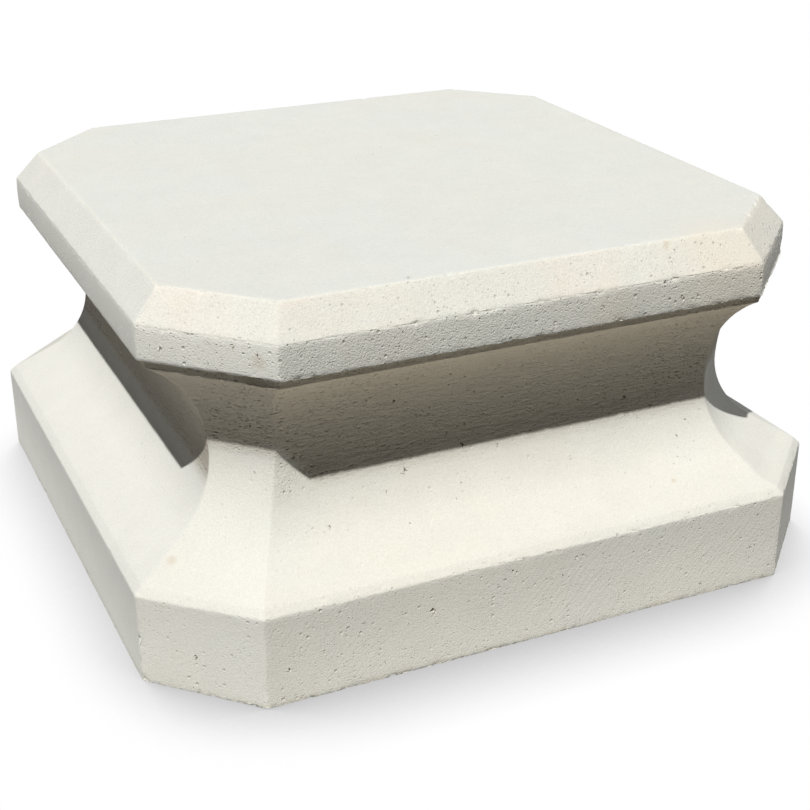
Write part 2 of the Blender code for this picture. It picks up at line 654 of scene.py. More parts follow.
@dataclass(frozen=True)
class Patterns:
    """The stone's patterns, from the finest noise to the widest, then its granules and holes."""

    grain: Pattern = Pattern(1000.0, 2.0, 0.6)
    sand: Pattern = Pattern(520.0, 2.0, 0.5)
    crumbs: Pattern = Pattern(330.0, 2.0, 0.5, (0.60, 0.68))
    lumps: Pattern = Pattern(120.0, 2.0, 0.5)
    soil: Pattern = Pattern(70.0, 3.0, 0.6, (0.40, 0.62))
    crowd: Pattern = Pattern(60.0, 3.0, 0.6, (0.40, 0.60, 0.20, 1.0))
    mottles: Pattern = Pattern(42.0, 4.0, 0.6)
    nests: Pattern = Pattern(26.0, 3.0, 0.6, (0.32, 0.54, 0.16, 1.0))
    patches: Pattern = Pattern(13.0, 3.0, 0.6, (0.46, 0.70))
    score_patches: Pattern = Pattern(9.0, 2.0, 0.5, (0.38, 0.60))
    clouds: Pattern = Pattern(7.0, 4.0, 0.55, (0.35, 0.65))
    streaks: Pattern = Pattern(1.0, 3.0, 0.6)
    streak_stretch: tuple[float, float, float] = (85.0, 85.0, 430.0)
    scores: Pattern = Pattern(1.0, 2.0, 0.5)
    score_stretch: tuple[float, float, float] = (400.0, 400.0, 60.0)
    score_turn: tuple[float, float, float] = (0.0, math.radians(-42.0), 0.0)
    granules: float = 840.0
    small_pores: Holes = Holes((0.10, 0.34), 0.45, 480.0)
    small_pore_depth: float = 0.6
    large_pores: Holes = Holes((0.12, 0.30), 0.24, 230.0)
    specks: Holes = Holes((0.06, 0.20), 0.014, 150.0)
    torn: Holes = Holes((0.10, 0.40), 0.55, stretch=(190.0, 190.0, 350.0))
    fine_torn: Holes = Holes((0.10, 0.42), 0.62, stretch=(400.0, 400.0, 640.0))


class Stone:
    """The patterns and painted values that the stone's colour and relief share."""

    PAINTED = (
        "tooled", "scored", "greyed", "sawn", "bevelled", "pit_dust_and_shade",
        "painted_shade", "painted_band_light", "coarse", "soiled", "ends", "painted_bounce",
    )

    def __init__(self, sheet: SheetOfNodes, patterns: Patterns) -> None:
        """Lay out the patterns on a sheet of nodes."""
        cloud, holes, times = sheet.cloud, sheet.holes, sheet.times
        self.paint = {name: sheet.painted(name) for name in self.PAINTED}
        self.grain, self.sand = cloud(patterns.grain), cloud(patterns.sand)
        self.lumps, self.mottles = cloud(patterns.lumps), cloud(patterns.mottles)
        self.clouds, self.patches = cloud(patterns.clouds), cloud(patterns.patches)
        self.soil, self.crumbs = cloud(patterns.soil), cloud(patterns.crumbs)
        self.granules = sheet.granules(patterns.granules)
        self.streaks = cloud(patterns.streaks, sheet.stretched(patterns.streak_stretch))
        scores = cloud(patterns.scores, sheet.stretched(patterns.score_stretch, patterns.score_turn))
        self.scores = times(scores, cloud(patterns.score_patches))
        small = times(holes(patterns.small_pores), patterns.small_pore_depth)
        pores = sheet.most(small, holes(patterns.large_pores))
        self.pores = times(pores, cloud(patterns.crowd), self.paint["coarse"])
        torn = times(sheet.most(holes(patterns.torn), holes(patterns.fine_torn)), cloud(patterns.nests))
        self.torn = times(torn, times(self.paint["tooled"], self.paint["ends"]))
        self.specks = holes(patterns.specks)


@dataclass(frozen=True)
class Limestone:
    """Pale limestone, cut with a saw: cream and grey clouds, sandy grain, pores, tool marks and rust spots.
    """

    palette: Palette = Palette()
    tones: Tones = Tones()
    relief: Relief = Relief()
    patterns: Patterns = Patterns()
    cool_span: tuple[float, float] = (0.70, 1.20)
    roughness: float = 0.90
    roughness_swing: float = 0.06
    roughness_span: tuple[float, float] = (0.3, 0.7)
    specular: float = 0.25
    rust_spots: tuple[Spot, ...] = (
        Spot(0.1006, -0.2160, 0.2469, 0.0030),
        Spot(0.0989, -0.2177, 0.2450, 0.0026),
        Spot(-0.1755, -0.2228, 0.2174, 0.0062),
        Spot(-0.2240, -0.1826, 0.0780, 0.0045),
        Spot(0.1135, -0.2260, 0.0802, 0.0028),
    )
    blushes: tuple[Spot, ...] = (
        Spot(0.1400, -0.2230, 0.2390, 0.050),
        Spot(0.0550, -0.2320, 0.2150, 0.020),
    )

    def body(self, sheet: SheetOfNodes, stone: Stone) -> Socket:
        """The clean stone's colour: cream and grey clouds, a cool top and warm bevels, with painted light
        that makes the left and right sides lighter and cooler.
        """
        palette, tones, paint = self.palette, self.tones, stone.paint
        colour = sheet.blend(stone.clouds, palette.cream, palette.grey)
        greyed = sheet.plus(paint["greyed"], sheet.times(stone.mottles, tones.cool_mottle))
        cool = sheet.times(sheet.spread(greyed, *self.cool_span), tones.cool)
        colour = sheet.blend(cool, colour, palette.cool)
        warmth = sheet.plus(tones.warm, sheet.times(paint["bevelled"], tones.warm_bevel))
        colour = sheet.blend(sheet.times(stone.patches, warmth), colour, palette.warm)
        # Painted light: the left and right sides are painted lighter and cooler.
        return sheet.blend(sheet.times(paint["sawn"], tones.sawn), colour, palette.sawn)

    def tone(self, sheet: SheetOfNodes, stone: Stone) -> Socket:
        """How much lighter or darker than its colour the stone is at a place."""
        tones, paint = self.tones, stone.paint
        loudness = sheet.plus(
            tones.plain,
            sheet.times(paint["coarse"], tones.coarse),
            sheet.times(paint["tooled"], tones.tooled),
            sheet.times(paint["bevelled"], tones.bevelled),
        )
        return sheet.plus(
            1.0,
            sheet.swing(stone.grain, sheet.times(loudness, tones.fleck)),
            sheet.swing(stone.sand, sheet.times(loudness, tones.mottle)),
            sheet.swing(stone.mottles, tones.cloudy),
            sheet.swing(stone.streaks, sheet.times(paint["tooled"], tones.streaky)),
            sheet.swing(stone.lumps, sheet.times(paint["tooled"], tones.blotchy)),
            # Painted light: the slab's upright band is painted lighter, most on the left and right sides.
            sheet.times(paint["painted_band_light"], tones.painted_band_light),
        )

    def colour(self, sheet: SheetOfNodes, stone: Stone) -> Socket:
        """The stone's colour with its tone, painted shade and painted bounce light under the slab, pits
        darkened by dust and painted shade, blushes and rust.
        """
        palette, tones, paint = self.palette, self.tones, stone.paint
        shade = sheet.add("ShaderNodeCombineColor")
        tone = self.tone(sheet, stone)
        for name in ("Red", "Green", "Blue"):
            sheet.feed(shade.inputs[name], tone)
        colour = sheet.blend(1.0, self.body(sheet, stone), shade.outputs[0], "MULTIPLY")
        # Painted shade under the slab, turning to painted warm bounce light towards its top.
        shade_tint = sheet.blend(paint["painted_bounce"], palette.shade_under_slab, palette.bounce_brown)
        colour = sheet.blend(paint["painted_shade"], colour, shade_tint)
        ochre = sheet.times(paint["soiled"], stone.soil, tones.ochre)
        colour = sheet.blend(ochre, colour, palette.ochre)
        # Pits, pores and torn marks are darkened partly as dust and partly as painted shade in their hollows;
        # the crumbs at the foot are soil and the specks are dark marks.
        depth = sheet.plus(tones.pit_dust_and_shade, sheet.times(paint["tooled"], tones.tooled_pit_dust_and_shade))
        dark = sheet.most(
            sheet.times(paint["soiled"], stone.crumbs, tones.crumbs),
            sheet.times(sheet.most(paint["pit_dust_and_shade"], stone.pores), depth),
            sheet.times(stone.torn, tones.torn),
            sheet.times(stone.specks, tones.specks),
        )
        colour = sheet.blend(dark, colour, palette.soil)
        for spot in self.blushes:
            share = sheet.times(sheet.near(spot), stone.mottles, tones.blush)
            colour = sheet.blend(share, colour, palette.blush)
        for spot in self.rust_spots:
            colour = sheet.blend(sheet.times(sheet.near(spot), tones.rust), colour, palette.rust)
        return colour

    def height(self, sheet: SheetOfNodes, stone: Stone) -> Socket:
        """How high the surface stands in the bump."""
        relief, paint = self.relief, stone.paint
        coarse = paint["coarse"]
        raised = sheet.plus(
            sheet.times(stone.grain, sheet.plus(relief.grain, sheet.times(coarse, relief.coarse_grain))),
            sheet.times(stone.sand, coarse, relief.sand),
            sheet.times(stone.granules, coarse, relief.granules),
            sheet.times(stone.lumps, coarse, relief.lumps),
            sheet.times(stone.streaks, paint["tooled"], relief.streaks),
            sheet.times(stone.scores, paint["scored"], relief.scores),
        )
        sunk = sheet.plus(sheet.times(stone.pores, relief.pores), sheet.times(stone.torn, relief.torn))
        return sheet.math("SUBTRACT", raised, sunk)

    def material(self) -> bpy.types.Material:
        """Build the material.

        Returns:
            The finished stone, read on Object coordinates and on values painted on the mesh.
        """
        sheet = SheetOfNodes(bpy.data.materials.new("limestone"))
        stone, shader = Stone(sheet, self.patterns), sheet.shader
        sheet.feed(shader.inputs["Base Color"], self.colour(sheet, stone))
        low, high = self.roughness - self.roughness_swing, self.roughness + self.roughness_swing
        roughness = sheet.spread(stone.sand, *self.roughness_span, low, high)
        sheet.feed(shader.inputs["Roughness"], roughness)
        shader.inputs["Specular IOR Level"].default_value = self.specular
        shader.inputs["Metallic"].default_value = 0.0
        bump = sheet.add("ShaderNodeBump")
        bump.inputs["Strength"].default_value = self.relief.strength
        bump.inputs["Distance"].default_value = self.relief.distance
        sheet.feed(bump.inputs["Height"], self.height(sheet, stone))
        sheet.feed(shader.inputs["Normal"], bump.outputs["Normal"])
        return sheet.material


@dataclass
class Plinth:
    """The one block of stone.

    Pits are counted by the square centimetre, and coarseness runs from 0 to 1, both by worked surface.
    Raggedness goes by the height of a level arris, and an arris that is more ragged than the fine limit
    is divided once more. The rim margin is how far in from the slab's edge a place still counts as rim.
    """

    moulding: Moulding = field(default_factory=Moulding)
    hand: HandWork = field(default_factory=HandWork)
    wear: Wear = field(default_factory=Wear)
    weathering_and_light: WeatheringAndPaintedLight = field(default_factory=WeatheringAndPaintedLight)
    finish: Limestone = field(default_factory=Limestone)

    PITS_PER_CM2 = {
        Zone.BASE_BAND: 0.18,
        Zone.LOWER_ROUND: 0.05,
        Zone.UPPER_ROUND: 0.15,
        Zone.SLAB_BAND: 1.0,
        Zone.TOP_BEVEL: 0.02,
    }
    COARSE = {
        Zone.BED: 1.0,
        Zone.BASE_BAND: 0.50,
        Zone.EDGE_BEVEL: 0.35,
        Zone.SPLAY: 0.16,
        Zone.LOWER_ROUND: 0.25,
        Zone.UPPER_ROUND: 0.8,
        Zone.FILLET: 0.8,
        Zone.SOFFIT: 0.8,
        Zone.SLAB_BAND: 1.0,
        Zone.TOP_BEVEL: 0.55,
        Zone.TOP_FACE: 0.30,
    }
    RAGGED = {0.0: 0.8, 0.064: 0.45, 0.200: 0.6, 0.206: 0.6, 0.229: 0.55, 0.249: 0.5}
    UNDER_SLAB = (Zone.UPPER_ROUND, Zone.LOWER_ROUND, Zone.FILLET)
    PAINTED = (
        "tooled", "painted_shade", "painted_bounce", "ends", "painted_band_light", "bevelled", "scored", "greyed", "sawn", "coarse", "soiled",
    )
    LEFT_SMOOTHNESS = 0.8
    LEVEL_COARSENESS = 0.5
    FINE_RAGGED = 0.4
    RIM_MARGIN = 0.002
    SHARP_ANGLE = math.radians(38.0)

    @staticmethod
    def ordered(vertices: Sequence[BMVert]) -> list[BMVert]:
        """Vertices of an outline, in order round the middle."""
        return sorted(vertices, key=lambda vertex: math.atan2(vertex.co.y, vertex.co.x))

    def outline(self, station: Station) -> list[Vector]:
        """The eight points of a level, in the same order as ordered() gives."""
        points = []
        for corner in range(4):
            depth = station.corner - self.hand.extra_depth(corner, station.height)
            other = depth * math.sqrt(2.0) - station.side
            turn = corner * math.pi / 2
            cosine, sine = round(math.cos(turn)), round(math.sin(turn))
            for first, (x, y) in ((True, (station.side, other)), (False, (other, station.side))):
                drop = self.hand.drop(corner, first, station.height, self.moulding.base_band)
                points.append(Vector((x * cosine - y * sine, x * sine + y * cosine, station.height - drop)))
        return sorted(points, key=lambda point: math.atan2(point.y, point.x))

    def carry_up(self, work: BMesh) -> None:
        """Extrude the outline through every level, and mark each face with its zone and its side."""
        zone_layer = work.faces.layers.int.new("zone")
        turn_layer = work.faces.layers.int.new("turn")
        stations = self.moulding.stations()
        ring = bmesh.ops.create_circle(work, cap_ends=False, segments=8, radius=stations[0].side)["verts"]
        for vertex, point in zip(self.ordered(ring), self.outline(stations[0])):
            vertex.co = point
        edges = list(work.edges)
        for station in stations[1:]:
            lifted = bmesh.ops.extrude_edge_only(work, edges=edges)["geom"]
            vertices = [part for part in lifted if isinstance(part, BMVert)]
            for vertex, point in zip(self.ordered(vertices), self.outline(station)):
                vertex.co = point
            for face in (part for part in lifted if isinstance(part, BMFace)):
                middle = face.calc_center_median()
                face[zone_layer] = int(station.zone)
                face[turn_layer] = round(math.atan2(middle.y, middle.x) / (math.pi / 4)) % 8
            fresh = set(vertices)
            edges = [part for part in lifted if isinstance(part, BMEdge) and set(part.verts) <= fresh]
        work.normal_update()
        bmesh.ops.recalc_face_normals(work, faces=work.faces)

    def ease(self, work: BMesh) -> None:
        """Bevel every arris and mark the narrow faces that this makes."""
        eased = work.faces.layers.int.new("eased")
        wear = self.wear
        limit = wear.arris_angle
        sharp = [edge for edge in work.edges if edge.is_manifold and edge.calc_face_angle(0.0) > limit]
        for face in bevel(work, sharp, wear.arris, wear.arris_segments, "EDGES")["faces"]:
            face[eased] = 1

    def raggedness(self, place: Vector) -> float:
        """How ragged the level arris at a place is, from 0 to 1, or 0 where there is none that counts."""
        for level, share in self.RAGGED.items():
            if abs(place.z - level) < self.wear.arris_reach:
                return share
        return 0.0

    def reach(self, place: Vector) -> float:
        """Distance of a place from the middle, measured so that it is the same all round an outline."""
        width = self.moulding.top_width
        setback = width / 2 - self.moulding.corner_distance(width, self.moulding.top_corner_leg)
        return max(abs(place.x), abs(place.y), (abs(place.x) + abs(place.y)) / math.sqrt(2.0) + setback)

    def on_rim(self, place: Vector) -> bool:
        """Whether a place lies as far out as the top slab's upright band."""
        return self.reach(place) > self.moulding.top_width / 2 - self.RIM_MARGIN

    def run_round(self, work: BMesh, wide: bool) -> list[BMEdge]:
        """The long level edges of the sides, or those of the corners."""
        chosen = []
        for edge in work.edges:
            run = edge.verts[1].co - edge.verts[0].co
            if run.length < self.wear.column_edge or abs(run.z) > run.length * 0.1:
                continue
            if (max(abs(run.x), abs(run.y)) > 0.99 * run.length) == wide:
                chosen.append(edge)
        return chosen

    def divide(self, work: BMesh) -> None:
        """Divide the long edges that run round the block evenly, then the ragged arrises once more.

        The vertices on eased arrises are marked here, for the steps that follow.
        """
        for wide, cuts in ((True, self.wear.side_columns), (False, self.wear.corner_columns)):
            bmesh.ops.subdivide_edges(work, edges=self.run_round(work, wide), cuts=cuts, use_grid_fill=True)
        eased = work.faces.layers.int["eased"]
        underside, base_band = self.moulding.underside, self.moulding.base_band
        fine = []
        for edge in work.edges:
            if edge.calc_length() < self.wear.arris_edge or not all(face[eased] for face in edge.link_faces):
                continue
            first, second = edge.verts
            middle = (first.co + second.co) / 2
            if abs(first.co.z - second.co.z) > self.wear.arris_reach:
                if not base_band < middle.z < underside:
                    fine.append(edge)
            elif self.raggedness(middle) > self.FINE_RAGGED:
                if abs(middle.z - underside) > self.wear.arris_reach or self.on_rim(middle):
                    fine.append(edge)
        bmesh.ops.subdivide_edges(work, edges=fine, cuts=self.wear.arris_cuts, use_grid_fill=True)
        layer = work.verts.layers.float.new("arris")
        for vertex in work.verts:
            vertex[layer] = 1.0 if any(face[eased] for face in vertex.link_faces) else 0.0

    def close(self, work: BMesh) -> None:
        """Close the bed and the top face."""
        zone_layer = work.faces.layers.int["zone"]
        rims = [edge for edge in work.edges if edge.is_boundary]
        for level, zone in ((0.0, Zone.BED), (self.moulding.height, Zone.TOP_FACE)):
            rim = [edge for edge in rims if abs(edge.verts[0].co.z - level) < 10 * TINY]
            for face in bmesh.ops.contextual_create(work, geom=rim)["faces"]:
                face[zone_layer] = int(zone)
        work.normal_update()
        bmesh.ops.recalc_face_normals(work, faces=work.faces)

    def facing(self, normal: Vector) -> float:
        """How coarsely a face is finished, by the way it faces: the left side is the smoothest."""
        flat = Vector((normal.x, normal.y))
        if flat.length < 0.2:
            return self.LEVEL_COARSENESS
        flat.normalize()
        return 1.0 - self.LEFT_SMOOTHNESS * max(0.0, -flat.x) ** 3

    def depth(self, place: Vector, normal: Vector, on_arris: bool) -> float:
        """How deep the surface is worn at a place."""
        wear, moulding, rough = self.wear, self.moulding, self.facing(normal)
        depth = wear.waviness * (0.5 + 0.5 * noise.noise(place * wear.wave_scale))
        depth += wear.roughness * (0.5 + 0.5 * noise.noise(place * wear.rough_scale)) * rough
        if on_arris:
            broken = sum(share * noise.noise(place * scale) for scale, share in wear.breaks) + wear.break_bias
            coarseness = wear.ragged_least + (1 - wear.ragged_least) * rough
            depth += wear.ragged * max(0.0, broken) * self.raggedness(place) * coarseness
        band_middle = moulding.underside + moulding.top_band / 2
        span = (place.z - band_middle) / (moulding.top_band / 2)
        if abs(span) < 1.04 and abs(normal.z) < 0.9 and self.on_rim(place):
            depth += self.hand.band_round * span * span
        return depth

    def weather(self, work: BMesh) -> None:
        """Break the grid's regularity, then rub the surface inwards by slow and quick noise."""
        layer = work.verts.layers.float["arris"]
        chance = random.Random(self.wear.seed)
        moves = []
        for vertex in work.verts:
            normal, place = vertex.normal.copy(), vertex.co
            along = Vector((-normal.y, normal.x, 0.0))
            slide, rise = (chance.uniform(-1.0, 1.0) * self.wear.jitter for _ in range(2))
            on_bed = place.z < TINY
            on_top = place.z > self.moulding.height - TINY
            on_arris = vertex[layer] > 0.5
            depth = self.depth(place, normal, on_arris)
            shift = -normal * depth
            if on_bed:
                shift = Vector((shift.x, shift.y, max(0.0, shift.z))) if on_arris else Vector()
            elif on_top:
                shift = Vector((0.0, 0.0, -depth * self.wear.top_share)) if on_arris else Vector()
            if vertex[layer] < 0.01 and along.length > 0.3 and not on_bed and not on_top:
                shift += along.normalized() * slide
                if abs(normal.z) < 0.1:
                    shift.z += rise
            moves.append((vertex, shift))
        for vertex, shift in moves:
            vertex.co += shift

    def chip_weight(self, vertex: BMVert) -> float:
        """How likely an arris is to be chipped at a vertex."""
        height, moulding, wear = vertex.co.z, self.moulding, self.wear
        margin = wear.chip_margin
        if moulding.base_band + margin < height < moulding.underside - margin:
            return 0.0
        inside = self.reach(vertex.co) < moulding.top_width / 2 - margin
        if abs(height - moulding.underside) < margin and inside:
            return 0.0
        on_base = moulding.base_band > height > margin
        on_slab = moulding.underside + margin < height < moulding.height - margin
        weight = self.raggedness(vertex.co) or (wear.chip_upright if on_base or on_slab else 0.0)
        return weight * (wear.chip_least + (1 - wear.chip_least) * self.facing(vertex.normal))

    def chip(self, work: BMesh) -> None:
        """Scoop small hollows out of the arrises."""
        wear = self.wear
        layer = work.verts.layers.float["arris"]
        chance = random.Random(wear.seed + 1)
        work.verts.ensure_lookup_table()
        tree = kdtree.KDTree(len(work.verts))
        for vertex in work.verts:
            tree.insert(vertex.co, vertex.index)
        tree.balance()
        arris = [vertex for vertex in work.verts if vertex[layer] > 0.9]
        centres = chance.choices(arris, weights=[self.chip_weight(vertex) for vertex in arris], k=wear.chips)
        small, large = wear.chip_radius
        scoops = []
        for vertex in centres:
            radius = small + (large - small) * chance.random() ** wear.chip_skew
            scoops.append((vertex.co + vertex.normal * radius * chance.uniform(*wear.chip_stand), radius))
        for spot in self.hand.chips:
            _, index, _ = tree.find(spot.place)
            vertex = work.verts[index]
            scoops.append((vertex.co + vertex.normal * spot.radius * wear.named_chip_stand, spot.radius))
        for centre, radius in scoops:
            for _, index, _ in tree.find_range(centre, radius):
                near = work.verts[index]
                if near.co.z < TINY and near[layer] < 0.5:
                    continue
                away = near.co - centre
                if 1e-6 < away.length < radius:
                    grown = radius * (1 + wear.chip_ripple * noise.noise(near.co * wear.chip_scale))
                    near.co = centre + away.normalized() * grown
                    near.co.z = min(max(near.co.z, 0.0), self.moulding.height)

    def room(self, vertex: BMVert) -> float:
        """The radius of the widest pit that the faces round a vertex leave room for."""
        return self.wear.pit_room * min(edge.calc_length() for edge in vertex.link_edges)

    def pit_places(self, work: BMesh, chance: random.Random) -> dict[tuple[float, int], list[BMVert]]:
        """Choose where pits are sunk, the named ones first.

        Args:
            work: The block.
            chance: Source of the random draws.

        Returns:
            The vertices to sink, by radius and zone.
        """
        wear = self.wear
        zone_layer = work.faces.layers.int["zone"]
        arris = work.verts.layers.float["arris"]
        small, large = wear.pit_radius
        steps = wear.pit_sizes - 1
        sizes = [small + (large - small) * (step / steps) ** wear.pit_skew for step in range(wear.pit_sizes)]
        groups: dict[tuple[float, int], list[BMVert]] = {}
        taken: set[BMFace] = set()
        for spot in self.hand.holes:
            near = sorted(work.verts, key=lambda vertex: (vertex.co - spot.place).length_squared)[:6]
            vertex = max(near, key=lambda vertex: vertex[arris] < 0.01 and self.room(vertex))
            faces = vertex.link_faces
            if vertex[arris] < 0.01 and len(faces) == 4 and not taken.intersection(faces):
                radius = min(spot.radius, self.room(vertex))
                groups.setdefault((radius, faces[0][zone_layer]), []).append(vertex)
                taken.update(faces)
        for vertex in work.verts:
            faces = list(vertex.link_faces)
            if len(faces) != 4 or any(face in taken or len(face.verts) != 4 for face in faces):
                continue
            zone = faces[0][zone_layer]
            rate = self.PITS_PER_CM2.get(Zone(zone), 0.0)
            if rate == 0.0 or any(corner[arris] > 0.01 for face in faces for corner in face.verts):
                continue
            crowd = max(0.0, 0.5 + noise.noise(vertex.co * wear.pit_crowding))
            crowd = wear.pit_least + wear.pit_gain * crowd
            area = sum(face.calc_area() for face in faces) / 4
            if chance.random() < rate * 1e4 * area * crowd * self.facing(vertex.normal):
                radius = sizes[min(steps, int(chance.expovariate(wear.pit_rarity)))]
                if radius <= self.room(vertex):
                    groups.setdefault((radius, zone), []).append(vertex)
                    taken.update(faces)
        return groups

    def pit(self, work: BMesh) -> None:
        """Sink round pits into the coarse faces, and mark their insides, which the finish darkens as dust and
        painted shade.
        """
        wear = self.wear
        zone_layer = work.faces.layers.int["zone"]
        pit_dust_and_shade = work.verts.layers.float.new("pit_dust_and_shade")
        chance = random.Random(wear.seed + 2)
        for (radius, zone), vertices in self.pit_places(work, chance).items():
            opened = bevel(work, vertices, radius * wear.pit_opening, wear.pit_segments, "VERTICES")
            mouths = [face for face in opened["faces"] if face.is_valid]
            for face in mouths:
                face[zone_layer] = zone
                middle = face.calc_center_median()
                for vertex in face.verts:
                    away = vertex.co - middle
                    vertex.co = middle + away.normalized() * radius * chance.uniform(*wear.pit_mouth)
            for inset, fall in wear.pit_steps:
                width, depth = radius * inset, -radius * fall
                sunk = bmesh.ops.inset_individual(work, faces=mouths, thickness=width, depth=depth)
                for face in sunk["faces"]:
                    face[zone_layer] = zone
                for vertex in (vertex for face in mouths for vertex in face.verts):
                    vertex[pit_dust_and_shade] = 1.0
            for face in mouths:
                shove = Vector([chance.uniform(-1.0, 1.0) for _ in range(3)]) * radius * wear.pit_shove
                for vertex in face.verts:
                    vertex.co += shove

    @staticmethod
    def outward(vertex: BMVert, turn_layer: BMLayerItem) -> Vector:
        """The level direction that a vertex's side of the block faces."""
        toward = Vector()
        for face in vertex.link_faces:
            angle = face[turn_layer] * math.pi / 4
            toward += Vector((math.cos(angle), math.sin(angle), 0.0))
        return toward.normalized() if toward.length > 1e-6 else toward

    def keep_inside(self, work: BMesh) -> None:
        """Press back the few vertices that stand proud of the solid's box."""
        half = self.moulding.base_width / 2
        for vertex in work.verts:
            place = vertex.co
            place.x = min(max(place.x, -half), half)
            place.y = min(max(place.y, -half), half)
            place.z = min(max(place.z, 0.0), self.moulding.height)

    def shade_under_slab(self, place: Vector, flat: Vector, on_corner: bool) -> float:
        """How deep a place lies in the painted shade under the slab, from 0 to 1.

        Args:
            place: The place on the block.
            flat: The level direction that its side faces.
            on_corner: Whether that side is a cut corner.

        Returns:
            0 below the line where the painted shade starts, and 1 a little above it.
        """
        weathering_and_light = self.weathering_and_light
        start = weathering_and_light.corner_start if on_corner else weathering_and_light.side_start
        # Near the front left corner light reaches round it, so the painted shade starts higher there.
        if flat.y < -0.5:
            lit_round_corner = ramp(-place.x - place.y, weathering_and_light.lit_round_corner_start, weathering_and_light.lit_round_corner_fade)
            higher = (weathering_and_light.corner_start - weathering_and_light.side_start) * lit_round_corner
            start = max(start, weathering_and_light.side_start + higher)
        return ramp(place.z, start, weathering_and_light.shade_fade)

    def paint(self, work: BMesh) -> None:
        """Paint each vertex with what the finish needs to know about its surface, and where the finish paints
        shade and light into the stone's colour.
        """
        weathering_and_light, half = self.weathering_and_light, self.moulding.top_width / 2
        rim_start = -weathering_and_light.rim_grey * weathering_and_light.rim_fade
        zone_layer = work.faces.layers.int["zone"]
        turn_layer = work.faces.layers.int["turn"]
        layers = {name: work.verts.layers.float.new(name) for name in self.PAINTED}
        for vertex in work.verts:
            zones = [Zone(face[zone_layer]) for face in vertex.link_faces]
            share = {zone: zones.count(zone) / len(zones) for zone in Zone}
            place, flat = vertex.co, self.outward(vertex, turn_layer)
            level = share[Zone.TOP_FACE] + share[Zone.BED]
            on_corner = min(abs(flat.x), abs(flat.y)) > 0.4
            under = sum(share[zone] for zone in self.UNDER_SLAB)
            shade_share = under * self.shade_under_slab(place, flat, on_corner)
            # Painted warm bounce light, growing with height.
            bounce_brown = ramp(place.z, weathering_and_light.bounce_start, weathering_and_light.bounce_fade)
            along = min(abs(place.x), abs(place.y)) / half
            to_end = ramp(along, weathering_and_light.ends_start, weathering_and_light.ends_fade)
            inward = half - self.moulding.top_run - self.reach(place)
            smooth = self.facing(flat) * (1 - level) + self.LEVEL_COARSENESS * level
            coarse = sum(self.COARSE[zone] for zone in zones) / len(zones)
            scuffed = max(0.0, 1.0 - (place - self.hand.scuff.place).length / self.hand.scuff.radius)
            values = {
                # The tool marks follow the painted shade's mask; the next value is the painted shade itself,
                # and the one after it painted warm bounce light within that shade.
                "tooled": shade_share,
                "painted_shade": shade_share * weathering_and_light.shade_tint,
                "painted_bounce": bounce_brown * (weathering_and_light.corner_bounce if on_corner else 1.0),
                "ends": weathering_and_light.ends_least + (1 - weathering_and_light.ends_least) * to_end,
                # Painted light on the slab's upright band, stronger on the left and right sides.
                "painted_band_light": share[Zone.SLAB_BAND] * (1.0 + weathering_and_light.side_band_light * abs(flat.x)),
                "bevelled": share[Zone.TOP_BEVEL],
                "scored": share[Zone.BASE_BAND] * self.facing(flat),
                "greyed": share[Zone.TOP_FACE] * ramp(inward, rim_start, weathering_and_light.rim_fade),
                # Painted light on the left and right sides, kept off the painted shade and off level faces.
                "sawn": abs(flat.x) ** 3 * (1 - shade_share) * (1 - level),
                "coarse": max(coarse * smooth, self.hand.scuff_depth * scuffed),
                "soiled": max(0.0, 1 - place.z / weathering_and_light.soil_height),
            }
            for name, value in values.items():
                vertex[layers[name]] = value

    def build(self) -> bpy.types.Object:
        """Work the block and dress it.

        Returns:
            The finished piece, riding on the root body in place of the solid.
        """
        work = bmesh.new()
        self.carry_up(work)
        self.ease(work)
        self.divide(work)
        self.close(work)
        self.weather(work)
        self.chip(work)
        self.pit(work)
        self.keep_inside(work)
        self.paint(work)
        work.normal_update()
        mesh = mesh_from(work, "stone_block")
        for polygon in mesh.polygons:
            polygon.use_smooth = True
        mesh.set_sharp_from_angle(angle=self.SHARP_ANGLE)
        block = put_in_scene("stone_block", mesh)
        mesh.materials.append(self.finish.material())
        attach(block, "root")
        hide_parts("plinth")
        LOG.info("stone_block: %d vertices, %d faces", len(mesh.vertices), len(mesh.polygons))
        return block


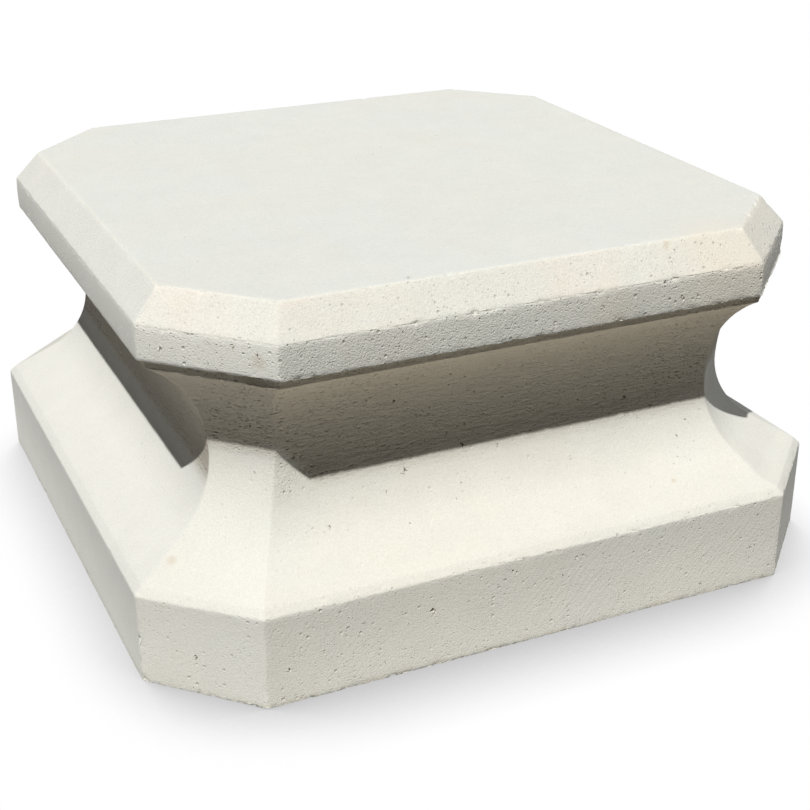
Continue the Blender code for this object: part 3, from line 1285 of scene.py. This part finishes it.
@dataclass(frozen=True)
class Floor:
    """A plain white floor with a painted soft shadow round the block, that throws a little light back.

    Near and far are the colours of its glow, by distance from the block. The glow is weaker at the
    block's foot, and on the side away from the sun. The shade fields give the reach, the lean and the
    depth of the painted shadow that the camera sees.
    """

    half: float = 9.0
    near: Colour = (0.74, 0.73, 0.705, 1.0)
    far: Colour = (0.128, 0.128, 0.122, 1.0)
    near_reach: tuple[float, float] = (0.045, 0.120)
    foot_reach: float = 0.020
    foot_share: float = 0.6
    far_side: float = 0.5
    far_side_reach: tuple[float, float] = (0.4, 1.1)
    shade_samples: int = 16
    shade_reach: float = 0.09
    shade_lean: tuple[float, float, float] = (0.10, 0.42, 0.90)
    shade_range: tuple[float, float] = (0.29, 0.775)
    shade_tone: float = 0.535

    def build(self, block_half: float) -> bpy.types.Object:
        """Lay the floor.

        Args:
            block_half: Half of the block's width, from which the glow is measured.

        Returns:
            The floor.
        """
        work = bmesh.new()
        bmesh.ops.create_grid(work, x_segments=1, y_segments=1, size=self.half)
        mesh = mesh_from(work, "floor")
        floor = put_in_scene("floor", mesh)
        mesh.materials.append(self.material(block_half))
        LOG.info("floor: %.1f m square", self.half * 2)
        return floor

    def white(self, sheet: SheetOfNodes) -> bpy.types.Node:
        """White with a painted soft shadow beside the block, drawn from ambient occlusion and not from the
        lamps.
        """
        shade = sheet.add("ShaderNodeAmbientOcclusion", samples=self.shade_samples)
        shade.inputs["Distance"].default_value = self.shade_reach
        lean = sheet.add("ShaderNodeCombineXYZ")
        for axis, value in zip(("X", "Y", "Z"), self.shade_lean):
            lean.inputs[axis].default_value = value
        sheet.feed(shade.inputs["Normal"], lean.outputs[0])
        white = sheet.add("ShaderNodeEmission")
        strength = sheet.spread(shade.outputs["AO"], *self.shade_range, self.shade_tone, 1.0)
        sheet.feed(white.inputs["Strength"], strength)
        return white

    def glow(self, sheet: SheetOfNodes, block_half: float) -> bpy.types.Node:
        """The light that the floor throws back, by distance from the block."""
        split = sheet.add("ShaderNodeSeparateXYZ")
        sheet.feed(split.inputs[0], sheet.coords)
        across = [sheet.math("ABSOLUTE", split.outputs[axis]) for axis in ("X", "Y")]
        away = sheet.math("SUBTRACT", sheet.most(*across), block_half)
        low, high = (block_half * share for share in self.far_side_reach)
        nearness = sheet.times(
            sheet.spread(away, *self.near_reach, 1.0, 0.0),
            sheet.spread(away, 0.0, self.foot_reach, self.foot_share, 1.0),
            sheet.spread(split.outputs["X"], low, high, 1.0, self.far_side),
        )
        glow = sheet.add("ShaderNodeEmission")
        sheet.feed(glow.inputs["Color"], sheet.blend(nearness, self.far, self.near))
        return glow

    def material(self, block_half: float) -> bpy.types.Material:
        """White where the floor is seen, and a quiet glow to the light it throws back."""
        sheet = SheetOfNodes(bpy.data.materials.new("pale_floor"))
        sheet.material.cycles.emission_sampling = "NONE"
        path = sheet.add("ShaderNodeLightPath")
        choice = sheet.add("ShaderNodeMixShader")
        sheet.feed(choice.inputs[0], sheet.most(*(path.outputs[kind] for kind in SEEN_RAYS)))
        sheet.feed(choice.inputs[1], self.glow(sheet, block_half).outputs[0])
        sheet.feed(choice.inputs[2], self.white(sheet).outputs[0])
        nodes = sheet.material.node_tree.nodes
        sheet.feed(nodes["Material Output"].inputs["Surface"], choice.outputs[0])
        nodes.remove(sheet.shader)
        return sheet.material


@dataclass(frozen=True)
class Lamp:
    """A distant lamp: where it hangs, in degrees, how bright and how soft it is, and its colour."""

    name: str
    azimuth: float
    elevation: float
    strength: float
    softness: float
    colour: tuple[float, float, float]

    DISTANCE = 3.0

    def build(self) -> bpy.types.Object:
        """Hang the lamp. A strength of pi lights a white surface that faces it to white."""
        data = bpy.data.lights.new(self.name, "SUN")
        data.energy = self.strength
        data.color = self.colour
        data.angle = math.radians(self.softness)
        azimuth, elevation = math.radians(self.azimuth), math.radians(self.elevation)
        flat = math.cos(elevation)
        toward = Vector((flat * math.cos(azimuth), flat * math.sin(azimuth), math.sin(elevation)))
        lamp = put_in_scene(self.name, data)
        lamp.rotation_euler = toward.to_track_quat("Z", "Y").to_euler()
        lamp.location = toward * self.DISTANCE
        return lamp


@dataclass(frozen=True)
class Studio:
    """The light: one high key from the front left, a soft fill from the right, and an even surround."""

    key: Lamp = Lamp("key", 233.0, 60.0, 3.38, 0.9, (1.0, 0.985, 0.948))
    fill: Lamp = Lamp("fill", 348.0, 57.0, 0.42, 26.0, (0.98, 0.99, 1.0))
    surround: Colour = (0.018, 0.018, 0.019, 1.0)
    backdrop: Colour = (1.0, 1.0, 1.0, 1.0)

    def build(self) -> None:
        """Hang the lamps and colour the surround."""
        self.key.build()
        self.fill.build()
        world = bpy.data.worlds.new("surround")
        world.use_nodes = True
        nodes, links = world.node_tree.nodes, world.node_tree.links
        nodes.clear()
        path = nodes.new("ShaderNodeLightPath")
        seen = path.outputs[SEEN_RAYS[0]]
        for kind in SEEN_RAYS[1:]:
            either = nodes.new("ShaderNodeMath")
            either.operation = "MAXIMUM"
            links.new(seen, either.inputs[0])
            links.new(path.outputs[kind], either.inputs[1])
            seen = either.outputs[0]
        choice = nodes.new("ShaderNodeMixShader")
        links.new(seen, choice.inputs[0])
        for index, colour in enumerate((self.surround, self.backdrop), start=1):
            even = nodes.new("ShaderNodeBackground")
            even.inputs["Color"].default_value = colour
            links.new(even.outputs[0], choice.inputs[index])
        output = nodes.new("ShaderNodeOutputWorld")
        links.new(choice.outputs[0], output.inputs["Surface"])
        bpy.context.scene.world = world
        LOG.info("light: a key, a fill and an even surround")


@dataclass(frozen=True)
class Viewpoint:
    """The camera, where the photograph was taken from."""

    place: tuple[float, float, float] = (-0.4293, -0.9782, 0.5564)
    turn: tuple[float, float, float] = (1.13847, 0.00152, -0.42927)
    lens: float = 67.53
    sensor: float = 36.0
    clip: tuple[float, float] = (0.01, 60.0)

    def build(self) -> bpy.types.Object:
        """Set up the camera.

        Returns:
            The camera, made the scene's own.
        """
        data = bpy.data.cameras.new("viewpoint")
        data.lens = self.lens
        data.sensor_width = self.sensor
        data.clip_start, data.clip_end = self.clip
        camera = put_in_scene("viewpoint", data)
        camera.location = self.place
        camera.rotation_euler = self.turn
        bpy.context.scene.camera = camera
        LOG.info("viewpoint: %.1f mm lens", self.lens)
        return camera


def main() -> None:
    """Load the solid, dress it, and set the stage."""
    logging.basicConfig(level=logging.INFO, format="%(name)s %(message)s")
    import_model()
    Viewpoint().build()
    plinth = Plinth()
    plinth.build()
    Floor().build(plinth.moulding.base_width / 2)
    Studio().build()
    bpy.context.scene.view_settings.view_transform = "Standard"


if __name__ == "__main__":
    main()
